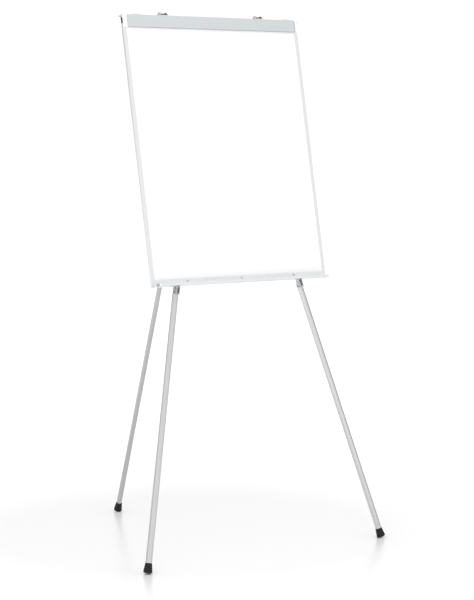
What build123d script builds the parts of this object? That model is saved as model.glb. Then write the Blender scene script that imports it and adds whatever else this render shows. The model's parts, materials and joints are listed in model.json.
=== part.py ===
"""Flip-chart easel: a framed writing board with a paper clamp and pen ledge, on three folding legs.

Millimetres, +Z up, the board faces -Y, the origin is on the floor in the middle of the footprint.
"""

from build123d import *
import math
import os

os.makedirs("parts", exist_ok=True)

# Board and stance
board_width = 700
board_height = 880
board_depth = 9
board_tilt = 11.2
board_bottom = 873

# Fits between pieces
face_play = 0.1
push_play = 0.04
running_play = 0.05
side_play = 0.2
stop_play = 0.3

# Panel and its frame
frame_wall = 1.2
side_lip = 13.5
bottom_lip = 24.5
frame_corner = 0.8
edge_gap = 0.8
sheet_thickness = 0.6
back_thickness = 0.4

# Top rail
rail_height = 42
rail_front = 4
rail_wall = 1.4
rail_corner = 2
rail_plug_length = 8
rail_plug_corner = 1
slot_depth = 10
rod_diameter = 5
rod_below_top = 7
rod_depth = 3
rod_overhang = 9
rod_end_chamfer = 0.5
rod_seat_wall = 1.4
notch_width = 30
notch_depth = 13.5
notch_inset = 50

# Paper clamp
clamp_inset = 17
clamp_height = 38
clamp_wall = 1.8
clamp_front = 8
clamp_foot_height = 8
clamp_foot_back = 4.9
grip_height = 4
grip_groove = 0.7
grip_back = 4.25
grip_edge = 0.3
arm_width = 14
arm_ring_wall = 1.65
arm_thickness = 5
arm_flange_drop = 16
spring_wire = 1.2
spring_turns = 4
spring_pitch = 2.4
spring_radius = 3.5

# Pad hooks
hook_place = 191
slide_plate = 1.5
slide_left = 21
slide_right = 17
slide_front = 2.4
slide_lip = 10
slide_lift = 0.2
peg_diameter = 4
peg_head_diameter = 8
peg_head_thickness = 1.5
peg_reach = 6.6
peg_height = 4
peg_tab_width = 9
peg_tail = 1
grip_length = 26
grip_depth = 9.5
grip_rise = 3.8
hump_rise = 3
hump_length = 10
hump_share = 0.75
hook_grip_corner = 1.2

# Pen ledge
ledge_depth = 31
ledge_front_height = 9.5
ledge_wall = 1.5
ledge_corner = 1.2
ledge_cap_thickness = 2.5
ledge_screw_inset = 137
ledge_screw_height = 16

# Screws
screw_shank = 3.5
screw_head = 7
screw_head_height = 1.8
screw_head_edge = 1.1
ledge_screw_length = 6
bracket_screw_length = 7.8
countersink_depth = 1.4

# Legs, heads and brackets
leg_splay = 14.35
leg_diameter = 20
tube_wall = 1.2
front_pivot_inset = 103
front_pivot_drop = 8
pin_diameter = 6
spigot_length = 26
front_eye_half = 6.2
front_eye_round = 7.5
front_head_length = 14.5
front_pin_head_diameter = 9
front_pin_head_height = 1.2
front_pin_head_edge = 0.9
bracket_plate = 1.6
bracket_ear_round = 6.5
bracket_ear_below = 13.5
bracket_ear_above = 13
bracket_ear_top_depth = 2
bracket_above = 31
bracket_round = 2
strap_top = 15
strap_height = 3.5
window_top = 8
window_left = 3
bracket_screw_places = (15, 25)

# Rear leg
rear_lean = 18.6
rear_pivot_drop = 35
rear_pivot_depth = 15
rear_plate = 2
rear_plate_up = 25
rear_plate_down = 5
rear_screw_places = (10, 18)
rear_screw_length = 4
rear_ear_round = 10.5
rear_pin_head_diameter = 11
rear_pin_head_height = 2
rear_pin_head_edge = 1.4
head_round = 9.8
head_length = 11
collar_length = 3
heel_height = 8
heel_round = 6.4
rear_plate_corner = 3
rear_ear_margin = 4
upper_tube_length = 850
lower_tube_diameter = 17
lower_tube_wall = 1.1
overlap_length = 100
guide_head = 12
guide_spigot = 20
guide_chamfer = 0.6
lock_collar_diameter = 27
lock_collar_over = 32
lock_collar_below = 18
lock_screw_diameter = 6
lock_boss_diameter = 14
lock_boss_reach = 21
lock_knob_diameter = 24
lock_knob_height = 10
lock_knob_lobes = 5
lock_lobe_radius = 4
lock_knob_core = 10
lock_knob_edge = 1
lock_shoe_thickness = 2

# Rubber feet
foot_top_diameter = 22
foot_base_diameter = 30.5
foot_height = 30.5
foot_edge = 5
foot_sole = 5

# Directions of the leaning board
tilt = math.radians(board_tilt)
across = Vector(1, 0, 0)
up_board = Vector(0, math.sin(tilt), math.cos(tilt))
out_board = Vector(0, -math.cos(tilt), math.sin(tilt))

# Legs as directions from their pivots down to the floor
splay = math.radians(leg_splay)
lean = math.radians(rear_lean)
rear_down = Vector(0, math.sin(lean), -math.cos(lean))
front_down = {side: across * (side * math.sin(splay)) - up_board * math.cos(splay) for side in (-1, 1)}
front_hinge = {side: across * math.cos(splay) + up_board * (side * math.sin(splay)) for side in (-1, 1)}
foot_base_radius = foot_base_diameter / 2


def foot_rise(down):
    """Height of the middle of a leaning foot's base while its lowest edge touches the floor."""
    upright = -down.Z
    sideways = math.sqrt(1 - upright**2)
    return foot_edge * (1 - upright) + (foot_base_radius - foot_edge) * sideways


def leg_length(pivot_height, down):
    """Length from a pivot to the middle of the foot's base, so that the foot stands on the floor."""
    return (pivot_height - foot_rise(down)) / -down.Z


def foot_reach(base_y, down, side):
    """Furthest y of a foot towards one side (-1 or +1), from the y of its base."""
    edge_circle = (foot_base_radius - foot_edge) * math.sqrt(1 - down.Y**2)
    return base_y - down.Y * foot_edge + side * (edge_circle + foot_edge)


# The footprint's middle is the origin, so the board's place in y follows from the feet
front_pivot_depth = leg_diameter / 2 + stop_play + bracket_plate
front_pivot_n = -board_depth - front_pivot_depth
rear_pivot_n = -board_depth - rear_pivot_depth
rear_pivot_s = board_height - rear_pivot_drop
front_pivot = up_board * -front_pivot_drop + out_board * front_pivot_n
rear_pivot = up_board * rear_pivot_s + out_board * rear_pivot_n
front_length = leg_length(board_bottom + front_pivot.Z, front_down[1])
rear_length = leg_length(board_bottom + rear_pivot.Z, rear_down)
front_edge = foot_reach(front_pivot.Y + front_length * front_down[1].Y, front_down[1], -1)
rear_edge = foot_reach(rear_pivot.Y + rear_length * rear_down.Y, rear_down, 1)
board_y = -(front_edge + rear_edge) / 2


def board_point(x, s, n):
    """A point x across the board, s up it and n out of its front plane."""
    return Vector(0, board_y, board_bottom) + across * x + up_board * s + out_board * n


def face_plane(n):
    """Sketch a layer of the board: x across it, y up it, extruding towards the reader."""
    return Plane(board_point(0, 0, n), x_dir=across, z_dir=out_board)


def end_plane(x):
    """Sketch the section of an extrusion: x up the board, y out of it, extruding along its width."""
    return Plane(board_point(x, 0, 0), x_dir=up_board, z_dir=across)


def level_plane(s):
    """Sketch across a side member: x out of the board, y along its width, extruding up the board."""
    return Plane(board_point(0, s, 0), x_dir=out_board, z_dir=up_board)


def block(x0, x1, y0, y1, mode=Mode.ADD):
    """A rectangle given by its limits, for use inside a sketch."""
    with Locations(((x0 + x1) / 2, (y0 + y1) / 2)):
        Rectangle(x1 - x0, y1 - y0, mode=mode)


def disc(x, y, radius, mode=Mode.ADD):
    """A circle given by its centre, for use inside a sketch."""
    with Locations((x, y)):
        Circle(radius, mode=mode)


# Derived places of the panel and frame
half_board = board_width / 2
front_pivot_place = half_board - front_pivot_inset
ledge_screw_spacing = half_board - ledge_screw_inset
notch_place = half_board - notch_inset
slot_front = -frame_wall
slot_back = -(board_depth - frame_wall)
rail_bottom = board_height - rail_height
slot_top = rail_bottom + slot_depth
panel_half = half_board - frame_wall - edge_gap
panel_bottom = frame_wall + edge_gap
panel_top = slot_top - edge_gap
panel_front = slot_front - face_play
panel_back = slot_back + face_play
core_front = panel_front - sheet_thickness
core_back = panel_back + back_thickness
inner_half = half_board - side_lip - face_play
screw_hole = screw_shank / 2 + push_play
ledge_screw_spots = [(side * ledge_screw_spacing, ledge_screw_height) for side in (-1, 0, 1)]
ledge_screw_tip = ledge_wall - ledge_screw_length
bracket_screw_tip = bracket_screw_length - bracket_plate - board_depth


def leg_plane(side, forward=0):
    """At a front pivot: x along its hinge, y up along the leg, extruding towards the reader."""
    pivot = board_point(side * front_pivot_place, -front_pivot_drop, front_pivot_n + forward)
    return Plane(pivot, x_dir=front_hinge[side], z_dir=out_board)


def leg_side_plane(side, offset):
    """Across a front hinge: x up along the leg, y towards the reader, extruding along the hinge."""
    pivot = board_point(side * front_pivot_place, -front_pivot_drop, front_pivot_n)
    return Plane(pivot + front_hinge[side] * offset, x_dir=-front_down[side], z_dir=front_hinge[side])


def leg_section_plane(side, distance):
    """Across a front leg, a distance down from its pivot, extruding down the leg."""
    pivot = board_point(side * front_pivot_place, -front_pivot_drop, front_pivot_n)
    return Plane(pivot + front_down[side] * distance, x_dir=front_hinge[side], z_dir=front_down[side])


def rear_side_plane(offset):
    """Across the rear hinge: x up along the leg, y towards the board, extruding along the hinge."""
    pivot = board_point(offset, rear_pivot_s, rear_pivot_n)
    return Plane(pivot, x_dir=-rear_down, z_dir=across)


def rear_section_plane(distance):
    """Across the rear leg, a distance down from its pivot, extruding down the leg."""
    pivot = board_point(0, rear_pivot_s, rear_pivot_n)
    return Plane(pivot + rear_down * distance, x_dir=across, z_dir=rear_down)


# Writing sheet
with BuildPart() as writing_sheet:
    with BuildSketch(face_plane(core_front)):
        block(-panel_half, panel_half, panel_bottom, panel_top)
    extrude(amount=sheet_thickness)
    with BuildSketch(face_plane(core_front)):
        for spot in ledge_screw_spots:
            disc(*spot, screw_hole)
    extrude(amount=sheet_thickness, mode=Mode.SUBTRACT)
writing_sheet.part.label = "writing_sheet"
export_step(writing_sheet.part, "parts/writing_sheet.step")

# Board core, drilled for the ledge screws from the front and the bracket screws from behind
with BuildPart() as board_core:
    with BuildSketch(face_plane(core_back)):
        block(-panel_half, panel_half, panel_bottom, panel_top)
    extrude(amount=core_front - core_back)
    with BuildSketch(face_plane(ledge_screw_tip - face_play)):
        for spot in ledge_screw_spots:
            disc(*spot, screw_hole)
    extrude(amount=core_front - ledge_screw_tip + 2 * face_play, mode=Mode.SUBTRACT)
    for side in (-1, 1):
        with BuildSketch(leg_plane(side, core_back - front_pivot_n - face_play)):
            for place in bracket_screw_places:
                disc(0, place, screw_hole)
        extrude(amount=bracket_screw_tip - core_back + 2 * face_play, mode=Mode.SUBTRACT)
board_core.part.label = "board_core"
export_step(board_core.part, "parts/board_core.step")

# Back sheet
with BuildPart() as back_sheet:
    with BuildSketch(face_plane(panel_back)):
        block(-panel_half, panel_half, panel_bottom, panel_top)
    extrude(amount=back_thickness)
    for side in (-1, 1):
        with BuildSketch(leg_plane(side, panel_back - front_pivot_n - face_play)):
            for place in bracket_screw_places:
                disc(0, place, screw_hole)
        extrude(amount=back_thickness + 2 * face_play, mode=Mode.SUBTRACT)
back_sheet.part.label = "back_sheet"
export_step(back_sheet.part, "parts/back_sheet.step")

# Side frame profiles: channels that open towards the panel, from the bottom edge up to the rail
for side, name in ((-1, "left"), (1, "right")):
    outer = side * half_board
    inner = side * (half_board - side_lip)
    with BuildPart() as frame_profile:
        with BuildSketch(level_plane(0)):
            block(-board_depth, 0, min(outer, inner), max(outer, inner))
            outside = vertices().sort_by(Axis.Y)[:2] if side < 0 else vertices().sort_by(Axis.Y)[-2:]
            fillet(outside, frame_corner)
            floor_line = outer - side * frame_wall
            block(slot_back, slot_front, min(floor_line, inner), max(floor_line, inner), Mode.SUBTRACT)
        extrude(amount=rail_bottom - face_play)
    frame_profile.part.label = f"{name}_frame_profile"
    export_step(frame_profile.part, f"parts/{name}_frame_profile.step")

# Bottom frame profile: a channel between the side profiles, drilled for ledge and bracket screws
with BuildPart() as bottom_frame_profile:
    with BuildSketch(end_plane(-inner_half)):
        block(0, bottom_lip, -board_depth, 0)
        block(frame_wall, bottom_lip, slot_back, slot_front, Mode.SUBTRACT)
    extrude(amount=2 * inner_half)
    with BuildSketch(face_plane(slot_front)):
        for spot in ledge_screw_spots:
            disc(*spot, screw_hole)
    extrude(amount=frame_wall, mode=Mode.SUBTRACT)
    for side in (-1, 1):
        with BuildSketch(leg_plane(side, front_pivot_depth)):
            for place in bracket_screw_places:
                disc(0, place, screw_hole)
        extrude(amount=frame_wall, mode=Mode.SUBTRACT)
bottom_frame_profile.part.label = "bottom_frame_profile"
export_step(bottom_frame_profile.part, "parts/bottom_frame_profile.step")

# Top rail: a hollow extrusion with a slot for the panel, a seat for the rod and two arm notches
rod_s = board_height - rod_below_top
rod_n = -rod_depth
rod_radius = rod_diameter / 2
seat_bore = rod_radius + 2 * running_play
seat_radius = seat_bore + rod_seat_wall
chamber_back = rail_wall - board_depth
chamber_front = rail_front - rail_wall
chamber_top = board_height - rail_wall
notch_bottom = board_height - notch_depth
rear_screw_spots = [(0, rear_pivot_s + place) for place in rear_screw_places]
with BuildPart() as top_rail:
    with BuildSketch(end_plane(-half_board)):
        block(rail_bottom, board_height, -board_depth, rail_front)
        fillet(vertices().sort_by(Axis.X)[-2:].sort_by(Axis.Y)[-1:], rail_corner)
        block(rail_bottom, slot_top, slot_back, slot_front, Mode.SUBTRACT)
        block(rail_bottom + rail_wall, slot_top, 0, chamber_front, Mode.SUBTRACT)
        block(slot_top + rail_wall, chamber_top, chamber_back, chamber_front, Mode.SUBTRACT)
        disc(rod_s, rod_n, seat_radius)
        block(rod_s - rail_wall / 2, rod_s + rail_wall / 2, chamber_back - face_play, rod_n)
        disc(rod_s, rod_n, seat_bore, Mode.SUBTRACT)
    extrude(amount=board_width)
    with BuildSketch(face_plane(chamber_back)):
        for side in (-1, 1):
            middle = side * notch_place
            block(middle - notch_width / 2, middle + notch_width / 2, notch_bottom, board_height)
    extrude(amount=rail_front - chamber_back, mode=Mode.SUBTRACT)
    with BuildSketch(face_plane(-board_depth)):
        for spot in rear_screw_spots:
            disc(*spot, screw_hole)
    extrude(amount=rail_wall, mode=Mode.SUBTRACT)
top_rail.part.label = "top_rail"
export_step(top_rail.part, "parts/top_rail.step")

# Rail plugs: dark blocks pushed in the rail's open ends, under the seat of the rod
with BuildPart() as rail_plugs:
    for start in (-half_board, half_board - rail_plug_length):
        with BuildSketch(end_plane(start)):
            plug_bottom = slot_top + rail_wall + face_play
            plug_top = rod_s - seat_radius - face_play
            block(plug_bottom, plug_top, chamber_back + face_play, chamber_front - face_play)
            fillet(vertices(), rail_plug_corner)
        extrude(amount=rail_plug_length)
rail_plugs.part.label = "rail_plugs"
export_step(rail_plugs.part, "parts/rail_plugs.step")

# Clamp rod
with BuildPart() as clamp_rod:
    with BuildSketch(end_plane(-half_board - rod_overhang)):
        disc(rod_s, rod_n, rod_radius)
    extrude(amount=board_width + 2 * rod_overhang)
    chamfer(clamp_rod.edges().filter_by(GeomType.CIRCLE), rod_end_chamfer)
clamp_rod.part.label = "clamp_rod"
export_step(clamp_rod.part, "parts/clamp_rod.step")

# Clamp bar: a face plate whose thick foot holds the rubber strip
clamp_half = half_board - clamp_inset
clamp_top = rail_bottom + clamp_height
plate_back = clamp_front - clamp_wall
groove_bottom = rail_bottom + (clamp_foot_height - grip_height) / 2
with BuildPart() as clamp_bar:
    with BuildSketch(end_plane(-clamp_half)):
        block(rail_bottom, clamp_top, plate_back, clamp_front)
        block(rail_bottom, rail_bottom + clamp_foot_height, clamp_foot_back, plate_back)
        front_corners = vertices().group_by(Axis.Y)[-1]
        fillet(front_corners, frame_corner)
        groove_top = groove_bottom + grip_height
        block(groove_bottom, groove_top, clamp_foot_back, clamp_foot_back + grip_groove, Mode.SUBTRACT)
    extrude(amount=2 * clamp_half)
clamp_bar.part.label = "clamp_bar"
export_step(clamp_bar.part, "parts/clamp_bar.step")

# Clamp grip: the rubber strip that presses the paper on the rail
with BuildPart() as clamp_grip:
    with BuildSketch(end_plane(-clamp_half)):
        strip_bottom = groove_bottom + running_play
        strip_top = groove_bottom + grip_height - running_play
        block(strip_bottom, strip_top, grip_back, clamp_foot_back + grip_groove)
        fillet(vertices().group_by(Axis.Y)[0], grip_edge)
    extrude(amount=2 * clamp_half)
clamp_grip.part.label = "clamp_grip"
export_step(clamp_grip.part, "parts/clamp_grip.step")

# Clamp arms: rings on the rod that reach out through the notches and carry the bar
arm_ring = rod_radius + arm_ring_wall
arm_outer = notch_place
arm_bore = rod_radius + running_play
for side, name in ((-1, "left"), (1, "right")):
    start = arm_outer - arm_width if side > 0 else -arm_outer
    with BuildPart() as clamp_arm:
        with BuildSketch(end_plane(start)):
            disc(rod_s, rod_n, arm_ring)
            block(rod_s - arm_thickness / 2, rod_s + arm_thickness / 2, rod_n, plate_back)
            block(rod_s - arm_flange_drop, rod_s + arm_thickness / 2, clamp_foot_back, plate_back)
            disc(rod_s, rod_n, arm_bore, Mode.SUBTRACT)
        extrude(amount=arm_width)
    clamp_arm.part.label = f"{name}_clamp_arm"
    export_step(clamp_arm.part, f"parts/{name}_clamp_arm.step")

# Return springs: coils round the rod beside the arms
for side, name in ((-1, "left"), (1, "right")):
    coil_length = spring_pitch * spring_turns
    near_end = arm_outer + (notch_width / 2 - coil_length) / 2
    start = near_end if side > 0 else -near_end - coil_length
    with BuildPart() as clamp_spring:
        with BuildLine() as coil:
            Helix(spring_pitch, coil_length, spring_radius, board_point(start, rod_s, rod_n), across)
        with BuildSketch(Plane(coil.line @ 0, z_dir=coil.line % 0)):
            Circle(spring_wire / 2)
        sweep(is_frenet=True)
    clamp_spring.part.label = f"{name}_clamp_spring"
    export_step(clamp_spring.part, f"parts/{name}_clamp_spring.step")
print("least gap between the spring's turns", round(spring_pitch - spring_wire, 2))

# Pad hooks: a slide over the rail with a peg for the pad's hole and a black finger grip
slide_bottom = board_height + slide_lift
slide_top = slide_bottom + slide_plate
lip_front = -board_depth - slide_lift
tab_back = slide_front - slide_plate
peg_s = slide_top + peg_height - slide_plate / 2
for side, name in ((-1, "left"), (1, "right")):
    place = side * hook_place
    with BuildPart() as hook_slide:
        with BuildSketch(end_plane(place - slide_left)):
            block(slide_bottom, slide_top, lip_front - slide_plate, slide_front)
            block(slide_bottom - slide_lip, slide_top, lip_front - slide_plate, lip_front)
            fillet(vertices().sort_by(Axis.X)[-2:].sort_by(Axis.Y)[:1], slide_plate / 2)
        extrude(amount=slide_left + slide_right)
        with BuildSketch(face_plane(tab_back)):
            tab_left = place - slide_left
            block(tab_left, tab_left + peg_tab_width, slide_bottom, peg_s + peg_diameter)
            fillet(vertices().group_by(Axis.Y)[-1], peg_diameter)
        extrude(amount=slide_plate)
        with BuildSketch(face_plane(tab_back)):
            disc(place - slide_left + peg_tab_width / 2, peg_s, peg_diameter / 2 + push_play)
        extrude(amount=slide_plate, mode=Mode.SUBTRACT)
    hook_slide.part.label = f"{name}_hook_slide"
    export_step(hook_slide.part, f"parts/{name}_hook_slide.step")

    peg_x = place - slide_left + peg_tab_width / 2
    with BuildPart() as hook_peg:
        with BuildSketch(face_plane(tab_back - peg_tail)):
            disc(peg_x, peg_s, peg_diameter / 2)
        extrude(amount=peg_tail + slide_plate + peg_reach - peg_head_thickness)
        with BuildSketch(face_plane(slide_front + peg_reach - peg_head_thickness)):
            disc(peg_x, peg_s, peg_head_diameter / 2)
        extrude(amount=peg_head_thickness)
        fillet(hook_peg.faces().sort_by(Axis.Y)[0].edges(), peg_head_thickness / 2)
    hook_peg.part.label = f"{name}_hook_peg"
    export_step(hook_peg.part, f"parts/{name}_hook_peg.step")

    grip_left = place + slide_right - grip_length
    hump_middle = grip_left + hump_share * grip_length
    grip_top = slide_top + grip_rise
    with BuildPart() as hook_grip:
        with BuildSketch(face_plane(slide_front - grip_depth)):
            with BuildLine():
                Polyline(
                    (hump_middle - hump_length / 2, grip_top),
                    (grip_left, grip_top),
                    (grip_left, slide_top),
                    (grip_left + grip_length, slide_top),
                    (grip_left + grip_length, grip_top),
                    (hump_middle + hump_length / 2, grip_top),
                )
                ThreePointArc(
                    (hump_middle + hump_length / 2, grip_top),
                    (hump_middle, grip_top + hump_rise),
                    (hump_middle - hump_length / 2, grip_top),
                )
            make_face()
            ends = vertices().group_by(Axis.X)
            fillet([ends[0].sort_by(Axis.Y)[-1], ends[-1].sort_by(Axis.Y)[-1]], hook_grip_corner)
        extrude(amount=grip_depth - face_play)
    hook_grip.part.label = f"{name}_hook_grip"
    export_step(hook_grip.part, f"parts/{name}_hook_grip.step")

# Pen ledge: a screwed flange and an open tray with a raised front edge
with BuildPart() as pen_ledge:
    with BuildSketch(end_plane(-inner_half)):
        block(0, bottom_lip - frame_corner, 0, ledge_wall)
        block(0, ledge_wall, 0, ledge_depth)
        block(0, ledge_front_height, ledge_depth - ledge_wall, ledge_depth)
        low_front = vertices().group_by(Axis.Y)[-1].sort_by(Axis.X)[0]
        fillet(low_front, ledge_wall)
    extrude(amount=2 * inner_half)
    front_ends = pen_ledge.edges().filter_by(Axis(board_point(0, 0, 0), up_board))
    front_ends = front_ends.group_by(Axis(board_point(0, 0, 0), out_board))[-1]
    chamfer(front_ends, ledge_corner)
    with BuildSketch(face_plane(0)):
        for spot in ledge_screw_spots:
            disc(*spot, screw_hole)
    extrude(amount=ledge_wall, mode=Mode.SUBTRACT)
pen_ledge.part.label = "pen_ledge"
export_step(pen_ledge.part, "parts/pen_ledge.step")

# Ledge caps: dark plates that close the section of the tray at both ends
with BuildPart() as ledge_caps:
    for start in (-inner_half - ledge_cap_thickness - face_play, inner_half + face_play):
        with BuildSketch(end_plane(start)):
            block(0, ledge_front_height, face_play, ledge_depth)
            outer_corners = vertices().group_by(Axis.Y)[-1]
            fillet(outer_corners, ledge_wall)
        extrude(amount=ledge_cap_thickness)
ledge_caps.part.label = "ledge_caps"
export_step(ledge_caps.part, "parts/ledge_caps.step")

# Ledge screws with low round heads
with BuildPart() as ledge_screws:
    with BuildSketch(face_plane(ledge_screw_tip)):
        for spot in ledge_screw_spots:
            disc(*spot, screw_shank / 2)
    extrude(amount=ledge_wall - ledge_screw_tip)
    with BuildSketch(face_plane(ledge_wall)):
        for spot in ledge_screw_spots:
            disc(*spot, screw_head / 2)
    extrude(amount=screw_head_height)
    rims = ledge_screws.faces().group_by(Axis(board_point(0, 0, 0), out_board))[-1].edges()
    fillet(rims, screw_head_edge)
ledge_screws.part.label = "ledge_screws"
export_step(ledge_screws.part, "parts/ledge_screws.step")

# Front leg brackets: a plate on the bottom profile, two ears, and a strap that stops the leg
ear_inside = front_eye_half + side_play
ear_outside = ear_inside + bracket_plate
plate_inside = front_pivot_depth - bracket_plate
pin_hole = pin_diameter / 2 + push_play
for side, name in ((-1, "left"), (1, "right")):
    with BuildPart() as leg_bracket:
        with BuildSketch(leg_plane(side, plate_inside)):
            block(-ear_outside, ear_outside, -strap_top - strap_height, bracket_above)
            fillet(vertices(), bracket_round)
            block(-window_left, ear_inside, -strap_top, window_top, Mode.SUBTRACT)
        extrude(amount=bracket_plate)
        for ear_start in (-ear_outside, ear_inside):
            with BuildSketch(leg_side_plane(side, ear_start)):
                disc(0, 0, bracket_ear_round)
                with BuildLine():
                    Polyline(
                        (-bracket_ear_below, plate_inside),
                        (-bracket_ear_round, 0),
                        (0, -bracket_ear_round),
                        (bracket_ear_above, bracket_ear_top_depth),
                        (bracket_ear_above, plate_inside),
                        close=True,
                    )
                make_face()
                disc(0, 0, pin_hole, Mode.SUBTRACT)
            extrude(amount=bracket_plate)
        with BuildSketch(leg_plane(side, plate_inside)):
            for screw_place in bracket_screw_places:
                disc(0, screw_place, screw_hole)
        extrude(amount=bracket_plate, mode=Mode.SUBTRACT)
        with BuildSketch(leg_plane(side, plate_inside)):
            for screw_place in bracket_screw_places:
                disc(0, screw_place, screw_hole + countersink_depth)
        extrude(amount=countersink_depth, taper=45, mode=Mode.SUBTRACT)
    leg_bracket.part.label = f"{name}_leg_bracket"
    export_step(leg_bracket.part, f"parts/{name}_leg_bracket.step")

# Countersunk screws of the front leg brackets, two in each
with BuildPart() as bracket_screws:
    for side in (-1, 1):
        with BuildSketch(leg_plane(side, plate_inside)):
            for screw_place in bracket_screw_places:
                disc(0, screw_place, screw_shank / 2)
        extrude(amount=bracket_screw_length)
        with BuildSketch(leg_plane(side, plate_inside)):
            for screw_place in bracket_screw_places:
                disc(0, screw_place, screw_shank / 2 + countersink_depth)
        extrude(amount=countersink_depth, taper=45)
bracket_screws.part.label = "bracket_screws"
export_step(bracket_screws.part, "parts/bracket_screws.step")

# Pivot pins: rivets through the ears with low heads
pin_half = ear_outside + front_pin_head_height
for side, name in ((-1, "left"), (1, "right")):
    with BuildPart() as leg_pin:
        with BuildSketch(leg_side_plane(side, -ear_outside)):
            Circle(pin_diameter / 2)
        extrude(amount=2 * ear_outside)
        for head_start in (-pin_half, ear_outside):
            with BuildSketch(leg_side_plane(side, head_start)):
                Circle(front_pin_head_diameter / 2)
            extrude(amount=front_pin_head_height)
        hinge_line = Axis(leg_side_plane(side, 0).origin, front_hinge[side])
        end_faces = leg_pin.faces().filter_by(GeomType.PLANE).group_by(hinge_line)
        fillet(end_faces[0].edges() + end_faces[-1].edges(), front_pin_head_edge)
    leg_pin.part.label = f"{name}_leg_pin"
    export_step(leg_pin.part, f"parts/{name}_leg_pin.step")

# Front legs: a head whose flat eye stands on the tube's end, a tube and a rubber foot
tube_radius = leg_diameter / 2
tube_bore = tube_radius - tube_wall
pin_bore = pin_diameter / 2 + running_play
for side, name in ((-1, "left"), (1, "right")):
    with BuildPart() as leg_head:
        with BuildSketch(leg_side_plane(side, -front_eye_half)):
            disc(0, 0, front_eye_round)
            block(-front_head_length, 0, -front_eye_round, front_eye_round)
            disc(0, 0, pin_bore, Mode.SUBTRACT)
        extrude(amount=2 * front_eye_half)
        with BuildSketch(leg_section_plane(side, front_head_length)):
            Circle(tube_bore - push_play)
        extrude(amount=spigot_length)
    leg_head.part.label = f"{name}_leg_head"
    export_step(leg_head.part, f"parts/{name}_leg_head.step")

    tube_end = front_length - foot_sole
    with BuildPart() as leg_tube:
        with BuildSketch(leg_section_plane(side, front_head_length)):
            Circle(tube_radius)
            Circle(tube_bore, mode=Mode.SUBTRACT)
        extrude(amount=tube_end - front_head_length)
    leg_tube.part.label = f"{name}_leg_tube"
    export_step(leg_tube.part, f"parts/{name}_leg_tube.step")

# Rear leg bracket: a plate screwed on the rail's back, with two ears
rear_ear_inside = tube_radius + 2 * side_play
rear_ear_outside = rear_ear_inside + rear_plate
rear_plate_inside = rear_pivot_depth - rear_plate
plate_low = rear_pivot_s - rear_plate_down
plate_high = rear_pivot_s + rear_plate_up
with BuildPart() as rear_bracket:
    with BuildSketch(face_plane(-board_depth - rear_plate)):
        block(-rear_ear_outside, rear_ear_outside, plate_low, plate_high)
        fillet(vertices().group_by(Axis.Y)[-1], rear_plate_corner)
    extrude(amount=rear_plate)
    for ear_start in (-rear_ear_outside, rear_ear_inside):
        with BuildSketch(end_plane(ear_start)):
            disc(rear_pivot_s, rear_pivot_n, rear_ear_round)
            with BuildLine():
                Polyline(
                    (plate_low, -board_depth - rear_plate),
                    (rear_pivot_s - rear_ear_round, rear_pivot_n),
                    (rear_pivot_s, rear_pivot_n - rear_ear_round),
                    (rear_pivot_s + rear_ear_round, rear_pivot_n),
                    (plate_high - rear_ear_margin, -board_depth - rear_plate),
                    close=True,
                )
            make_face()
            disc(rear_pivot_s, rear_pivot_n, pin_hole, Mode.SUBTRACT)
        extrude(amount=rear_plate)
    with BuildSketch(face_plane(-board_depth - rear_plate)):
        for spot in rear_screw_spots:
            disc(*spot, screw_hole)
    extrude(amount=rear_plate, mode=Mode.SUBTRACT)
    with BuildSketch(face_plane(-board_depth - rear_plate)):
        for spot in rear_screw_spots:
            disc(*spot, screw_hole + countersink_depth)
    extrude(amount=countersink_depth, taper=45, mode=Mode.SUBTRACT)
rear_bracket.part.label = "rear_bracket"
export_step(rear_bracket.part, "parts/rear_bracket.step")

# Countersunk screws of the rear bracket
with BuildPart() as rear_bracket_screws:
    with BuildSketch(face_plane(-board_depth - rear_plate)):
        for spot in rear_screw_spots:
            disc(*spot, screw_shank / 2)
    extrude(amount=rear_plate + rear_screw_length)
    with BuildSketch(face_plane(-board_depth - rear_plate)):
        for spot in rear_screw_spots:
            disc(*spot, screw_shank / 2 + countersink_depth)
    extrude(amount=countersink_depth, taper=45)
rear_bracket_screws.part.label = "rear_bracket_screws"
export_step(rear_bracket_screws.part, "parts/rear_bracket_screws.step")

# Rear pivot pin
rear_pin_half = rear_ear_outside + rear_pin_head_height
with BuildPart() as rear_leg_pin:
    with BuildSketch(rear_side_plane(-rear_ear_outside)):
        Circle(pin_diameter / 2)
    extrude(amount=2 * rear_ear_outside)
    for head_start in (-rear_pin_half, rear_ear_outside):
        with BuildSketch(rear_side_plane(head_start)):
            Circle(rear_pin_head_diameter / 2)
        extrude(amount=rear_pin_head_height)
    end_faces = rear_leg_pin.faces().filter_by(GeomType.PLANE).group_by(Axis.X)
    fillet(end_faces[0].edges() + end_faces[-1].edges(), rear_pin_head_edge)
rear_leg_pin.part.label = "rear_leg_pin"
export_step(rear_leg_pin.part, "parts/rear_leg_pin.step")

# Rear leg head: its heel comes to rest on the bracket's plate when the leg is spread
head_half = rear_ear_inside - side_play
tube_start = head_length + collar_length
with BuildPart() as rear_leg_head:
    with BuildSketch(rear_side_plane(-head_half)):
        block(-head_length, heel_height, -head_round, head_round)
        top_corners = vertices().group_by(Axis.X)[-1]
        fillet(top_corners.sort_by(Axis.Y)[0], heel_round)
        disc(0, 0, pin_bore, Mode.SUBTRACT)
    extrude(amount=2 * head_half)
    with BuildSketch(rear_section_plane(head_length)):
        Circle(tube_radius)
    extrude(amount=collar_length)
    with BuildSketch(rear_section_plane(tube_start)):
        Circle(tube_bore - push_play)
    extrude(amount=spigot_length)
rear_leg_head.part.label = "rear_leg_head"
export_step(rear_leg_head.part, "parts/rear_leg_head.step")

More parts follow.
